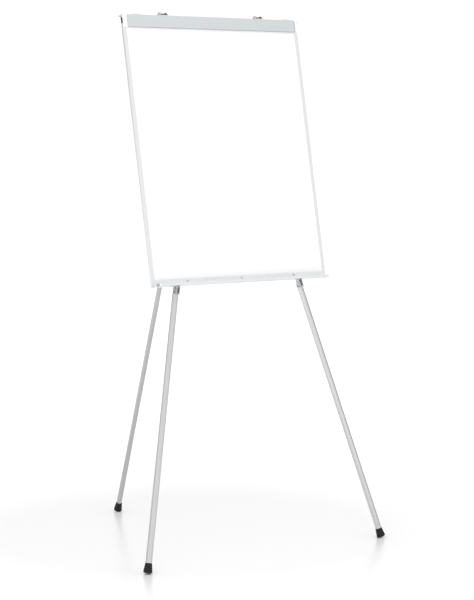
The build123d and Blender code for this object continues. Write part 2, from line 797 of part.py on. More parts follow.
# Rear upper tube
upper_end = tube_start + upper_tube_length
with BuildPart() as rear_upper_tube:
    with BuildSketch(rear_section_plane(tube_start)):
        Circle(tube_radius)
        Circle(tube_bore, mode=Mode.SUBTRACT)
    extrude(amount=upper_tube_length)
rear_upper_tube.part.label = "rear_upper_tube"
export_step(rear_upper_tube.part, "parts/rear_upper_tube.step")

# Lock collar: a sleeve over the upper tube's end, with a guide bore and a boss for the lock screw
lower_radius = lower_tube_diameter / 2
guide_bore = lower_radius + running_play
screw_radius = lock_screw_diameter / 2
collar_start = upper_end - lock_collar_over
lock_place = upper_end + lock_collar_below / 2
rear_back = across.cross(rear_down)


def lock_plane(reach):
    """Across the lock screw, at a distance from the rear leg's middle line, extruding outwards."""
    middle = rear_section_plane(lock_place).origin
    return Plane(middle + rear_back * reach, x_dir=across, z_dir=rear_back)


with BuildPart() as lock_collar:
    with BuildSketch(rear_section_plane(collar_start)):
        Circle(lock_collar_diameter / 2)
    extrude(amount=lock_collar_over + lock_collar_below)
    with BuildSketch(lock_plane(0)):
        Circle(lock_boss_diameter / 2)
    extrude(amount=lock_boss_reach)
    with BuildSketch(rear_section_plane(collar_start)):
        Circle(tube_radius + push_play)
    extrude(amount=lock_collar_over, mode=Mode.SUBTRACT)
    with BuildSketch(rear_section_plane(collar_start)):
        Circle(guide_bore)
    extrude(amount=lock_collar_over + lock_collar_below, mode=Mode.SUBTRACT)
    with BuildSketch(lock_plane(0)):
        Circle(screw_radius + running_play)
    extrude(amount=lock_boss_reach, mode=Mode.SUBTRACT)
lock_collar.part.label = "lock_collar"
export_step(lock_collar.part, "parts/lock_collar.step")

# Lock screw: a threaded pin with a lobed knob, and the shoe that it presses on the lower tube
knob_start = lock_boss_reach + 2 * stop_play
shoe_start = lower_radius + side_play
screw_tip = shoe_start + lock_shoe_thickness + side_play
with BuildPart() as lock_screw:
    with BuildSketch(lock_plane(screw_tip)):
        Circle(screw_radius)
    extrude(amount=knob_start - screw_tip)
    with BuildSketch(lock_plane(knob_start)):
        Circle(lock_knob_core)
        with PolarLocations(lock_knob_diameter / 2 - lock_lobe_radius, lock_knob_lobes):
            Circle(lock_lobe_radius)
    extrude(amount=lock_knob_height)
    knob_top = lock_screw.faces().sort_by(Axis(lock_plane(0).origin, rear_back))[-1]
    fillet(knob_top.edges(), lock_knob_edge)
lock_screw.part.label = "lock_screw"
export_step(lock_screw.part, "parts/lock_screw.step")

with BuildPart() as lock_shoe:
    with BuildSketch(lock_plane(shoe_start)):
        Circle(screw_radius - running_play)
    extrude(amount=lock_shoe_thickness)
lock_shoe.part.label = "lock_shoe"
export_step(lock_shoe.part, "parts/lock_shoe.step")

# Rear lower tube, from the overlap inside the upper tube to the foot
lower_start = upper_end - overlap_length
lower_end = rear_length - foot_sole
lower_bore = lower_radius - lower_tube_wall
with BuildPart() as rear_lower_tube:
    with BuildSketch(rear_section_plane(lower_start)):
        Circle(lower_radius)
        Circle(lower_bore, mode=Mode.SUBTRACT)
    extrude(amount=lower_end - lower_start)
rear_lower_tube.part.label = "rear_lower_tube"
export_step(rear_lower_tube.part, "parts/rear_lower_tube.step")

# Tube guide: a bush plugged in the lower tube's top that runs in the upper tube
with BuildPart() as tube_guide:
    with BuildSketch(rear_section_plane(lower_start - guide_head)):
        Circle(tube_bore - running_play)
    extrude(amount=guide_head)
    with BuildSketch(rear_section_plane(lower_start)):
        Circle(lower_bore - push_play)
    extrude(amount=guide_spigot)
    chamfer(tube_guide.edges().filter_by(GeomType.CIRCLE).sort_by(Axis.Z)[-1], guide_chamfer)
tube_guide.part.label = "tube_guide"
export_step(tube_guide.part, "parts/tube_guide.step")

# Rubber feet, pushed over the tubes' ends
feet = (
    ("left", leg_section_plane(-1, front_length).origin, front_hinge[-1], front_down[-1], tube_radius),
    ("right", leg_section_plane(1, front_length).origin, front_hinge[1], front_down[1], tube_radius),
    ("rear", rear_section_plane(rear_length).origin, across, rear_down, lower_radius),
)
for name, base_middle, sideways, down, tube_size in feet:
    base = foot_base_diameter / 2
    top = foot_top_diameter / 2
    socket = tube_size + push_play
    floor_of_socket = foot_sole - face_play
    with BuildPart() as foot:
        with BuildSketch(Plane(base_middle, x_dir=sideways, z_dir=down.cross(sideways))):
            with BuildLine():
                Polyline(
                    (0, 0),
                    (base, 0),
                    (top, foot_height),
                    (socket, foot_height),
                    (socket, floor_of_socket),
                    (0, floor_of_socket),
                    close=True,
                )
            make_face()
            fillet(vertices().sort_by(Axis.X)[-1], foot_edge)
        revolve(axis=Axis(base_middle, down))
    foot.part.label = f"{name}_foot"
    export_step(foot.part, f"parts/{name}_foot.step")
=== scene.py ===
# %% [markdown]
# # A flip-chart easel, dressed for its portrait
# The easel is a white dry-wipe board in slim aluminium trim, on two splayed front legs and one
# long rear leg. The engineering model comes in as a fixed frame, with every solid already in its
# place. This script gives each surface its finish, models afresh the small parts whose detail
# the solids leave out, and lights everything as for a catalogue picture.

# %% Load the frame
import json
import math

import bmesh
import bpy
import numpy as np
from mathutils import Matrix, Vector


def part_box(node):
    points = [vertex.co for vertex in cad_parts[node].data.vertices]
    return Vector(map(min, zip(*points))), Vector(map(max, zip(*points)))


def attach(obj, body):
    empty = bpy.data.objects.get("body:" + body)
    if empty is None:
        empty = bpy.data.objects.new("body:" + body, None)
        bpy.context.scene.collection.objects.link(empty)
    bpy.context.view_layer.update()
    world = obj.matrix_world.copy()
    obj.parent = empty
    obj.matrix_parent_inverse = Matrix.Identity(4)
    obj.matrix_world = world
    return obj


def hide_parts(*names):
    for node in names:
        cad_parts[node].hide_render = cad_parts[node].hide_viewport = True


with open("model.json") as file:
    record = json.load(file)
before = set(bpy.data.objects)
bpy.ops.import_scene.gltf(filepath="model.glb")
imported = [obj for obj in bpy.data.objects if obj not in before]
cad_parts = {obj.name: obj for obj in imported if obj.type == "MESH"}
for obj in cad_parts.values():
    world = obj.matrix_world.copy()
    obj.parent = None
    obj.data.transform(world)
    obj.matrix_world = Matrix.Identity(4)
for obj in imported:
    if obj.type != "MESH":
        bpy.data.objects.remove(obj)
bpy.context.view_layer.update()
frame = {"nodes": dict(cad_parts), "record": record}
nodes = frame["nodes"]

# %% [markdown]
# ## Where things are
# The board leans back, so most parts are easiest to place in the board's own directions:
# x across it, s up its face and n out of its front plane. Plain world coordinates would mix the
# lean into every number. The lower corner of the side trim tells where the front plane starts.
# Each leg is a straight line down from its pivot.

# %% Directions of the board and the legs
board_tilt = math.radians(11.2)
leg_splay = math.radians(14.35)
rear_lean = math.radians(18.6)
board_depth = 0.009
front_pivot_x, front_pivot_s, front_pivot_n = 0.247, -0.008, -0.0209
rear_pivot_s, rear_pivot_n = 0.845, -0.024
sides = ((-1, "left"), (1, "right"))

across = np.array([1.0, 0.0, 0.0])
up_board = np.array([0.0, math.sin(board_tilt), math.cos(board_tilt)])
out_board = np.array([0.0, -math.cos(board_tilt), math.sin(board_tilt)])

trim_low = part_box("left_frame_profile")[0]
board_origin = np.array([0.0, trim_low.y, trim_low.z + board_depth * math.sin(board_tilt)])


def on_board(x, s, n):
    """The point x across the board, s up it and n out of its front plane, in metres."""
    x, s, n = np.broadcast_arrays(x, s, n)
    return board_origin + x[..., None] * across + s[..., None] * up_board + n[..., None] * out_board


rear_down = np.array([0.0, math.sin(rear_lean), -math.cos(rear_lean)])
front_down, front_hinge, front_pivot = {}, {}, {}
for side, name in sides:
    front_down[side] = across * (side * math.sin(leg_splay)) - up_board * math.cos(leg_splay)
    front_hinge[side] = across * math.cos(leg_splay) + up_board * (side * math.sin(leg_splay))
    front_pivot[side] = on_board(side * front_pivot_x, front_pivot_s, front_pivot_n)
rear_pivot = on_board(0.0, rear_pivot_s, rear_pivot_n)
print("board's lower edge at", board_origin.round(4), "rear pivot at", rear_pivot.round(4))

# %% [markdown]
# ## The camera
# A long lens a good way off, a little to the reader's left, keeps the board's edges almost
# parallel. A short lens close by could frame the same easel, but its edges would spread. The
# place was worked out from the board's four corners and the three feet. The sensor width counts
# for the picture's long side, which here is its height.

# %% Camera
camera_data = bpy.data.cameras.new("camera")
camera_data.lens = 120.28
camera_data.sensor_width = 36.0
camera_data.sensor_fit = "AUTO"
camera_data.clip_end = 200.0
camera = bpy.data.objects.new("camera", camera_data)
camera.location = (-3.8319, -5.5535, 1.3859)
camera_yaw, camera_pitch = math.radians(35.98), math.radians(5.008)
camera.rotation_euler = (math.pi / 2 - camera_pitch, 0.0, -camera_yaw)
bpy.context.scene.collection.objects.link(camera)
bpy.context.scene.camera = camera
print("camera", tuple(round(v, 3) for v in camera.location))

# %% [markdown]
# ## Small helpers for meshes
# Every new piece is a grid of points worked out at once with numpy. Blender's own primitives
# would each need an operator and then a reshaping, while an array goes straight into the mesh
# and comes out the same on every run. Each row of a grid is a closed ring, so a tube or a bar
# has no seam. A ring may be one point many times over: merging its doubles closes the end.


# %% Grids to meshes
def grid_quads(rows, columns, close_rows):
    """Corner numbers of the quads between neighbouring rows of a grid whose rows are rings."""
    r = np.arange(rows if close_rows else rows - 1)[:, None]
    c = np.arange(columns)[None, :]
    r2, c2 = (r + 1) % rows, (c + 1) % columns
    corners = [r * columns + c, r2 * columns + c, r2 * columns + c2, r * columns + c2]
    return np.stack(corners, axis=-1).reshape(-1, 4)


# %% Clean meshes
def tidy_mesh(mesh, sharp_angle):
    """Merges doubles, turns all faces outwards and keeps edges crisp past the sharp angle."""
    work = bmesh.new()
    work.from_mesh(mesh)
    bmesh.ops.remove_doubles(work, verts=work.verts, dist=1e-6)
    bmesh.ops.dissolve_degenerate(work, edges=work.edges, dist=1e-7)
    bmesh.ops.recalc_face_normals(work, faces=work.faces)
    work.to_mesh(mesh)
    work.free()
    mesh.polygons.foreach_set("use_smooth", np.ones(len(mesh.polygons), bool))
    mesh.set_sharp_from_angle(angle=math.radians(sharp_angle))
    mesh.update()


# %% Pieces from grids
def grid_piece(name, points, body, finish, sharp_angle=35.0, close_rows=False):
    """A named piece from a grid of points, or from several like grids stacked in one array.

    The corners of each further copy are numbered on from the copy before it.
    """
    rows, columns = points.shape[-3:-1]
    copies = points.reshape(-1, rows * columns, 3)
    steps = rows * columns * np.arange(len(copies))
    faces = grid_quads(rows, columns, close_rows)[None] + steps[:, None, None]
    mesh = bpy.data.meshes.new(name)
    mesh.from_pydata(points.reshape(-1, 3), [], faces.reshape(-1, 4))
    tidy_mesh(mesh, sharp_angle)
    mesh.materials.append(finish)
    piece = bpy.data.objects.new(name, mesh)
    bpy.context.scene.collection.objects.link(piece)
    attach(piece, body)
    return piece


print("a grid of 3 rings of 4 points has", len(grid_quads(3, 4, False)), "quads")

# %% [markdown]
# ## Turned shapes
# Feet, screw heads and pins come off a lathe or out of a round mould: a profile of radius
# against height, spun about an axis. The point at angle a is centre + height x axis +
# radius x (cos a x side + sin a x other side), for the whole profile and all angles at once.
# A Screw modifier could spin them too, but an array can still be pressed and dimpled.


# %% Turned surfaces
def turned_points(profile, centre, axis, side, steps):
    """Spins a profile of (radius, height) pairs about the axis: rows of rings."""
    radius, height = np.asarray(profile, float).T
    other = np.cross(axis, side)
    angle = np.linspace(0.0, 2.0 * math.pi, steps, endpoint=False)
    spoke = np.cos(angle)[:, None] * side + np.sin(angle)[:, None] * other
    return centre + height[:, None, None] * axis + radius[:, None, None] * spoke[None, :, :]


# %% Rounded profiles
def rounded_profile(corners, steps=5):
    """A closed profile from (radius, height, rounding) corners, each rounding an arc-like curve.

    A corner is replaced by the quadratic curve through its two tangent points:
    (1-t)^2 x first + 2t(1-t) x corner + t^2 x last.
    """
    corners = np.asarray(corners, float)
    here = corners[:, :2]
    before, after = np.roll(here, 1, axis=0), np.roll(here, -1, axis=0)
    to_before = (before - here) / np.linalg.norm(before - here, axis=1, keepdims=True)
    to_after = (after - here) / np.linalg.norm(after - here, axis=1, keepdims=True)
    first = here + to_before * corners[:, 2:]
    last = here + to_after * corners[:, 2:]
    t = np.linspace(0.0, 1.0, steps)[None, :, None]
    curve = (1 - t) ** 2 * first[:, None] + 2 * t * (1 - t) * here[:, None] + t**2 * last[:, None]
    return curve.reshape(-1, 2)


unit_square = rounded_profile([(0, 0, 0.1), (1, 0, 0.1), (1, 1, 0.1), (0, 1, 0.1)])
print("a square with rounded corners has", len(unit_square), "points")

# %% [markdown]
# ## Shader groups
# Three effects turn up on many finishes, so each is a node group, built once. Drawn lines run
# along anything that came through a die. Handling marks are the broad, faint patches where
# hands and cloths have been. Moulded grain is the fine pebble of plastic and rubber. Pictures
# of such surfaces would need unwrapped pieces and would repeat, while noise does neither.


# %% A node group with named sockets
def new_group(name, inputs, outputs):
    """An empty shader group. Inputs are (name, kind, value) and outputs (name, kind)."""
    group = bpy.data.node_groups.new(name, "ShaderNodeTree")
    for socket_name, kind, value in inputs:
        socket = group.interface.new_socket(socket_name, in_out="INPUT", socket_type=kind)
        if value is not None:
            socket.default_value = value
    for socket_name, kind in outputs:
        group.interface.new_socket(socket_name, in_out="OUTPUT", socket_type=kind)
    source, sink = group.nodes.new("NodeGroupInput"), group.nodes.new("NodeGroupOutput")
    return group, source.outputs, sink.inputs


# %% Nodes and their values
def add_node(tree, kind, settings=(), **values):
    """A node of that kind, with settings as attributes and values on its input sockets.

    A value named _0 or _1 goes to that socket by number, any other by the socket's name.
    """
    node = tree.nodes.new(kind)
    for key, value in dict(settings).items():
        setattr(node, key, value)
    for key, value in values.items():
        socket = node.inputs[int(key[1:])] if key[0] == "_" else node.inputs[key.replace("_", " ")]
        if isinstance(value, bpy.types.NodeSocket):
            tree.links.new(value, socket)
        else:
            socket.default_value = value
    return node


def math_node(tree, operation, first, second=0.0):
    """The result of one step of arithmetic."""
    node = add_node(tree, "ShaderNodeMath", {"operation": operation}, _0=first, _1=second)
    return node.outputs[0]


def spread(tree, value, low, high, start=0.0, end=1.0):
    """Maps a value from start..end to low..high."""
    node = add_node(tree, "ShaderNodeMapRange", _0=value, _1=start, _2=end, _3=low, _4=high)
    return node.outputs[0]


# %% Drawn lines
def build_drawn_lines(squeeze=0.012, slow_fineness=120.0):
    """Long streaks along the input's X: noise whose X is squeezed until it hardly changes."""
    group, given, out = new_group(
        "drawn_lines",
        [("Vector", "NodeSocketVector", None), ("Fineness", "NodeSocketFloat", 900.0)],
        [("Streaks", "NodeSocketFloat"), ("Height", "NodeSocketFloat")],
    )
    scale = (squeeze, 1.0, 1.0)
    multiply = {"operation": "MULTIPLY"}
    place = add_node(group, "ShaderNodeVectorMath", multiply, _0=given["Vector"], _1=scale)
    place = place.outputs[0]
    fine = add_node(group, "ShaderNodeTexNoise", Vector=place, Scale=given["Fineness"], Detail=2.0)
    slow = add_node(group, "ShaderNodeTexNoise", Vector=place, Scale=slow_fineness, Detail=1.0)
    both = math_node(group, "ADD", fine.outputs[0], slow.outputs[0])
    group.links.new(spread(group, both, 0.0, 1.0, 0.6, 1.4), out["Streaks"])
    group.links.new(fine.outputs[0], out["Height"])
    return group


# %% Handling marks
def build_handling_marks(fine_scale=160.0):
    """Soft patches a hand or cloth leaves: broad noise, broken up by finer noise."""
    group, given, out = new_group(
        "handling_marks",
        [("Vector", "NodeSocketVector", None), ("Patch Scale", "NodeSocketFloat", 14.0)],
        [("Marks", "NodeSocketFloat")],
    )
    place, patch_scale = given["Vector"], given["Patch Scale"]
    broad = add_node(group, "ShaderNodeTexNoise", Vector=place, Scale=patch_scale, Detail=3.0)
    fine = add_node(group, "ShaderNodeTexNoise", Vector=place, Scale=fine_scale, Detail=2.0)
    broken = math_node(group, "MULTIPLY", broad.outputs[0], fine.outputs[0])
    group.links.new(spread(group, broken, 0.0, 1.0, 0.15, 0.42), out["Marks"])
    return group


# %% Moulded grain
def build_moulded_grain(cloud_scale=90.0):
    """Pebbled skin: distance to the nearest of many scattered points, beside a cloudy shade."""
    group, given, out = new_group(
        "moulded_grain",
        [("Vector", "NodeSocketVector", None), ("Grain Scale", "NodeSocketFloat", 1400.0)],
        [("Height", "NodeSocketFloat"), ("Shade", "NodeSocketFloat")],
    )
    place = given["Vector"]
    pebble = add_node(group, "ShaderNodeTexVoronoi", Vector=place, Scale=given["Grain Scale"])
    cloud = add_node(group, "ShaderNodeTexNoise", Vector=place, Scale=cloud_scale, Detail=3.0)
    group.links.new(pebble.outputs[0], out["Height"])
    group.links.new(cloud.outputs[0], out["Shade"])
    return group


drawn_lines = build_drawn_lines()
handling_marks = build_handling_marks()
moulded_grain = build_moulded_grain()
print("shader groups:", [group.name for group in bpy.data.node_groups])

# %% [markdown]
# ## A finish that follows a piece's own length
# Streaks have to run along a tube whichever way it leans. The solids have no unwrapping to lean
# on, so a Mapping node set to Texture turns the object's coordinates instead, until X runs along
# the given direction. The helpers after it make a whole finish: one for metal, one for mouldings.


# %% Turned coordinates
def turned_coordinates(tree, along):
    """Object coordinates with X turned along a direction in the easel's frame."""
    along = np.asarray(along, float) / np.linalg.norm(along)
    helper = across if abs(along[0]) < 0.9 else up_board
    side = np.cross(along, helper)
    side /= np.linalg.norm(side)
    turn = Matrix([along, side, np.cross(along, side)]).transposed()
    place = add_node(tree, "ShaderNodeTexCoord").outputs["Object"]
    mapping = add_node(tree, "ShaderNodeMapping", {"vector_type": "TEXTURE"}, Vector=place)
    mapping.inputs["Rotation"].default_value = turn.to_euler()
    return mapping.outputs[0]


# %% Parts of a material
def new_material(name, **surface):
    """A material with one Principled BSDF. Values go straight on its sockets."""
    material = bpy.data.materials.new(name)
    material.use_nodes = True
    shader = material.node_tree.nodes["Principled BSDF"]
    for key, value in surface.items():
        shader.inputs[key.replace("_", " ")].default_value = value
    return material, material.node_tree, shader


def group_node(tree, group, **values):
    """Places a shader group in a material and gives its outputs."""
    return add_node(tree, "ShaderNodeGroup", {"node_tree": group}, **values).outputs


def blend_colours(tree, factor, first, second):
    """The first colour where the factor is 0, the second where it is 1."""
    first, second = (*first, 1.0), (*second, 1.0)
    mix = add_node(tree, "ShaderNodeMix", {"data_type": "RGBA"}, _0=factor, _6=first, _7=second)
    return mix.outputs[2]


def add_bump(tree, shader, height, distance):
    """Feeds a height into the shader's normal."""
    bump = add_node(tree, "ShaderNodeBump", Height=height, Distance=distance, Strength=1.0)
    tree.links.new(bump.outputs[0], shader.inputs["Normal"])


# %% A metal finish
def metal(name, along, light, dark, roughness, line_depth=5e-6, fineness=900.0):
    """Metal with fine lines along a direction and handling marks in its gloss."""
    material, tree, shader = new_material(name, Metallic=1.0)
    place = turned_coordinates(tree, along)
    lines = group_node(tree, drawn_lines, Vector=place, Fineness=fineness)
    marks = group_node(tree, handling_marks, Vector=place)
    colour = blend_colours(tree, lines["Streaks"], dark, light)
    tree.links.new(colour, shader.inputs["Base Color"])
    rough = spread(tree, marks["Marks"], roughness * 0.85, roughness * 1.25)
    tree.links.new(rough, shader.inputs["Roughness"])
    add_bump(tree, shader, lines["Height"], line_depth)
    return material


# %% A moulded finish
def moulding(name, light, dark, roughness, grain_depth, ior=1.5):
    """Plastic or rubber with a pebbled skin and a cloudy shade."""
    material, tree, shader = new_material(name, IOR=ior)
    place = add_node(tree, "ShaderNodeTexCoord").outputs["Object"]
    grain = group_node(tree, moulded_grain, Vector=place)
    marks = group_node(tree, handling_marks, Vector=place, Patch_Scale=30.0)
    colour = blend_colours(tree, grain["Shade"], dark, light)
    tree.links.new(colour, shader.inputs["Base Color"])
    rough = spread(tree, marks["Marks"], roughness * 0.85, roughness * 1.2)
    tree.links.new(rough, shader.inputs["Roughness"])
    add_bump(tree, shader, grain["Height"], grain_depth)
    return material


# %% [markdown]
# ## The finishes
# The trim, clamp and ledge are satin anodised aluminium. The legs are drawn tube, a little
# greyer; each leg gets its own lighter or darker copy, painted shade by how light falls on it.
# Brackets, pins and screws are zinc-plated steel, and the brackets' darker copy is painted shade
# under the ledge. The rail is powder coated white. Each finish could be one flat colour, but real
# metal is never even: it gets a light and a dark shade, which the streaks mix, and a gloss that
# the handling marks break up.

# %% Metals
trim_light, trim_dark = (0.90, 0.92, 0.93), (0.86, 0.88, 0.89)
profile_across = metal("aluminium_across", across, trim_light, trim_dark, 0.36)
profile_upright = metal("aluminium_upright", up_board, trim_light, trim_dark, 0.36)
clamp_light, clamp_dark = (0.765, 0.80, 0.815), (0.715, 0.755, 0.77)
clamp_metal = metal("aluminium_clamp", across, clamp_light, clamp_dark, 0.36)
# Painted shade: each leg's tube is lighter or darker by how light falls on it, the rear one
# darkest.
tube_painted_shades = {
    "left": (front_down[-1], (0.68, 0.685, 0.685), (0.63, 0.635, 0.64), 0.34),
    "right": (front_down[1], (0.645, 0.65, 0.65), (0.59, 0.595, 0.60), 0.3),
    "rear": (rear_down, (0.52, 0.525, 0.525), (0.48, 0.485, 0.49), 0.34),
}
tube_metal = {leg: metal(f"tube_{leg}", *look) for leg, look in tube_painted_shades.items()}
plated = {"line_depth": 6e-6, "fineness": 300.0}
zinc_light, zinc_dark = (0.72, 0.725, 0.73), (0.6, 0.61, 0.62)
zinc = metal("zinc_plate", up_board, zinc_light, zinc_dark, 0.32, **plated)
# Painted shade: the brackets' zinc is a darker copy of the screws' zinc, for the shade under the
# ledge.
bracket_light, bracket_dark = (0.60, 0.605, 0.61), (0.48, 0.49, 0.50)
shaded_bracket_zinc = metal("shaded_bracket_zinc", up_board, bracket_light, bracket_dark, 0.3, **plated)
metals = [profile_across, profile_upright, clamp_metal, *tube_metal.values(), zinc, shaded_bracket_zinc]
print("metals:", [material.name for material in metals])

# %% Mouldings
black_plastic = moulding("black_plastic", (0.032, 0.032, 0.035), (0.02, 0.02, 0.022), 0.42, 3e-5)
head_plastic = moulding("head_plastic", (0.32, 0.32, 0.325), (0.26, 0.26, 0.265), 0.42, 3e-5)
# This mid grey is the painted shade plate on the clamp's right end.
shade_plate_plastic = moulding("shade_plate_plastic", (0.50, 0.505, 0.51), (0.44, 0.445, 0.45), 0.45, 2e-5)
grey_plastic = moulding("grey_plastic", (0.62, 0.63, 0.64), (0.56, 0.57, 0.58), 0.45, 2e-5)
grey_rubber = moulding("grey_rubber", (0.38, 0.385, 0.39), (0.32, 0.325, 0.33), 0.6, 3e-5)
sole_light, sole_dark = (0.010, 0.010, 0.011), (0.005, 0.005, 0.006)
black_rubber = moulding("black_rubber", sole_light, sole_dark, 0.26, 6e-6, ior=1.36)
mouldings = [black_plastic, head_plastic, shade_plate_plastic, grey_plastic, grey_rubber, black_rubber]
print("mouldings:", [material.name for material in mouldings])

# %% [markdown]
# ## The writing surface and the coats
# Dry-wipe enamel is fired glass on steel: almost white, glossy, with the slightest waviness.
# Years of wiping leave faint clouds. A plain white would look the same from straight ahead, but
# the clouds are a change of gloss, so they show where light grazes the board. The rail changes
# colour part of the way along. The ledge is darker on its underside, and its caps in a band
# across their depth: painted shade, where the ledge faces down and where the inside of its
# trough lies in shade. Each could be cut in pieces for that, but a coat that asks how far a point
# lies along a direction leaves the solids whole.


# %% Coated sheets
def coated(name, light, dark, roughness, wave_scale, wave_depth):
    """A coated sheet: cloudy shade, clouds in its gloss and a shallow waviness."""
    material, tree, shader = new_material(name, IOR=1.5)
    place = turned_coordinates(tree, across)
    marks = group_node(tree, handling_marks, Vector=place, Patch_Scale=5.0)
    colour = blend_colours(tree, marks["Marks"], light, dark)
    tree.links.new(colour, shader.inputs["Base Color"])
    rough = spread(tree, marks["Marks"], roughness * 0.8, roughness * 1.5)
    tree.links.new(rough, shader.inputs["Roughness"])
    wave = add_node(tree, "ShaderNodeTexNoise", Vector=place, Scale=wave_scale, Detail=1.0)
    add_bump(tree, shader, wave.outputs[0], wave_depth)
    return material


enamel = coated("enamel", (0.925, 0.93, 0.935), (0.915, 0.92, 0.925), 0.16, 220.0, 1.5e-5)
back_coat = coated("back_coat", (0.66, 0.67, 0.68), (0.60, 0.61, 0.62), 0.4, 300.0, 4e-5)
fibre_board = coated("fibre_board", (0.50, 0.38, 0.26), (0.36, 0.26, 0.17), 0.9, 1500.0, 1e-4)
print("coated sheets:", enamel.name, back_coat.name, fibre_board.name)


# %% A banded coat
def banded(name, direction, low, high, inside, outside, roughness, metallic=0.0):
    """A smooth finish with one colour between two distances along a direction, another beyond.

    The distance is the dot product of the place and the direction, from the board's origin. A
    point is beyond when it is further from the band's middle than half the band's width.
    """
    wear, grain_scale, grain_depth = 0.95, 1800.0, 1e-5
    material, tree, shader = new_material(name, Metallic=metallic, IOR=1.5)
    place = add_node(tree, "ShaderNodeTexCoord").outputs["Object"]
    marks = group_node(tree, handling_marks, Vector=place)
    product = {"operation": "DOT_PRODUCT"}
    along = add_node(tree, "ShaderNodeVectorMath", product, _0=place, _1=direction)
    middle = float(board_origin @ direction) + (low + high) / 2
    away = math_node(tree, "SUBTRACT", along.outputs["Value"], middle)
    distance = math_node(tree, "ABSOLUTE", away)
    beyond = math_node(tree, "GREATER_THAN", distance, (high - low) / 2)
    worn_inside, worn_outside = (tuple(wear * c for c in colour) for colour in (inside, outside))
    near = blend_colours(tree, marks["Marks"], inside, worn_inside)
    far = blend_colours(tree, marks["Marks"], outside, worn_outside)
    mix = add_node(tree, "ShaderNodeMix", {"data_type": "RGBA"}, _0=beyond, _6=near, _7=far)
    tree.links.new(mix.outputs[2], shader.inputs["Base Color"])
    rough = spread(tree, marks["Marks"], roughness * 0.85, roughness * 1.2)
    tree.links.new(rough, shader.inputs["Roughness"])
    grain = group_node(tree, moulded_grain, Vector=place, Grain_Scale=grain_scale)
    add_bump(tree, shader, grain["Height"], grain_depth)
    return material


# %% Coats of the rail, the ledge and its caps, with painted shade on the ledge and caps
clamp_half = 0.333
rail_middle, rail_white = (0.745, 0.775, 0.79), (0.93, 0.94, 0.945)
rail_coat = banded("rail_coat", across, -clamp_half, clamp_half, rail_middle, rail_white, 0.36)
# Painted shade: beyond the band, the ledge's downward-facing underside is coloured darker.
ledge_band, ledge_underside_painted_shade = (0.0008, 0.05), (0.68, 0.70, 0.71)
ledge_coat_and_painted_shade = banded("ledge_coat_and_painted_shade", up_board, *ledge_band, trim_light, ledge_underside_painted_shade, 0.36, 1.0)
# Painted shade: the caps' dark band stands in for the shaded inside of the trough.
cap_shade_band, cap_trough_painted_shade, cap_light = (0.009, 0.0275), (0.42, 0.425, 0.43), (0.84, 0.855, 0.865)
cap_coat_and_painted_shade = banded("cap_coat_and_painted_shade", out_board, *cap_shade_band, cap_trough_painted_shade, cap_light, 0.4)
print("banded coats:", rail_coat.name, ledge_coat_and_painted_shade.name, cap_coat_and_painted_shade.name)

# %% [markdown]
# ## Dressing the solids
# A solid that is already the right shape only needs its finish. It could be modelled again, but
# that would gain nothing. Its slot in the record tells which finish, and the parts that run
# across, up the board or down a leg are named, because they get streaks that way.

# %% Finishes by node
finish_of = {
    "writing_sheet": enamel,
    "board_core": fibre_board,
    "back_sheet": back_coat,
    "top_rail": rail_coat,
    "ledge_caps": cap_coat_and_painted_shade,
    "left_frame_profile": profile_upright,
    "right_frame_profile": profile_upright,
    "bottom_frame_profile": profile_across,
    "pen_ledge": ledge_coat_and_painted_shade,
    "left_leg_bracket": shaded_bracket_zinc,
    "right_leg_bracket": shaded_bracket_zinc,
    "left_leg_head": head_plastic,
    "right_leg_head": head_plastic,
    "clamp_bar": clamp_metal,
    "clamp_grip": grey_rubber,
    "clamp_rod": zinc,
    "left_leg_tube": tube_metal["left"],
    "right_leg_tube": tube_metal["right"],
    "rear_upper_tube": tube_metal["rear"],
    "rear_lower_tube": tube_metal["rear"],
    "lock_shoe": grey_plastic,
}
finish_of_slot = {
    "zinc_steel": zinc,
    "black_plastic": black_plastic,
    "grey_plastic": grey_plastic,
    "black_rubber": black_rubber,
    "grey_rubber": grey_rubber,
}

# %% Dressing
slot_of_node = {row["node"]: row["material_slot"] for row in frame["record"]["subparts"]}
for name, node in nodes.items():
    finish = finish_of.get(name) or finish_of_slot[slot_of_node[name]]
    node.data.materials.clear()
    node.data.materials.append(finish)
print("solids dressed:", len(nodes))

# %% [markdown]
# ## Standing in for a solid
# A new piece that stands for a solid moves with the same body. The body could be typed in with
# each piece, but the frame's own table can't be wrong. Several copies of one grid, such as the
# screws of a bracket, make one piece.

# %% Pieces that replace solids
node_lists = frame["record"]["behaviour"]["bodies"]
body_of = {node: body for body, members in node_lists.items() for node in members}


def stand_in(name, node, points, finish, sharp_angle=35.0, close_rows=False):
    """A piece from one grid or several, on the solid's body and in the solid's place."""
    body, slot_name = body_of[node], slot_of_node[node]
    piece = grid_piece(name, points, body, finish, sharp_angle, close_rows)
    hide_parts(node)
    return piece


print("bodies to ride on:", sorted(node_lists))

# %% [markdown]
# ## Rubber feet
# Each leg stands in a tapered ferrule of black rubber, wider at the floor, with a soft lower
# edge. A closed profile is spun about the leg: up the outside, over the thin lip, down the
# socket, and back under the sole, where two rings of tread grip the floor. A cone with a Bevel
# would give the outside only, while one profile gives the socket, the lip and the tread as well.

# %% Foot surface
foot_base, foot_top, foot_high, foot_sole = 0.01525, 0.011, 0.0305, 0.0049
brim_low, brim_taper, tread = 0.004, 0.0004, 0.0009
base_round, brim_round, lip_round, fine_edge = 0.006, 0.002, 0.0006, 0.0002


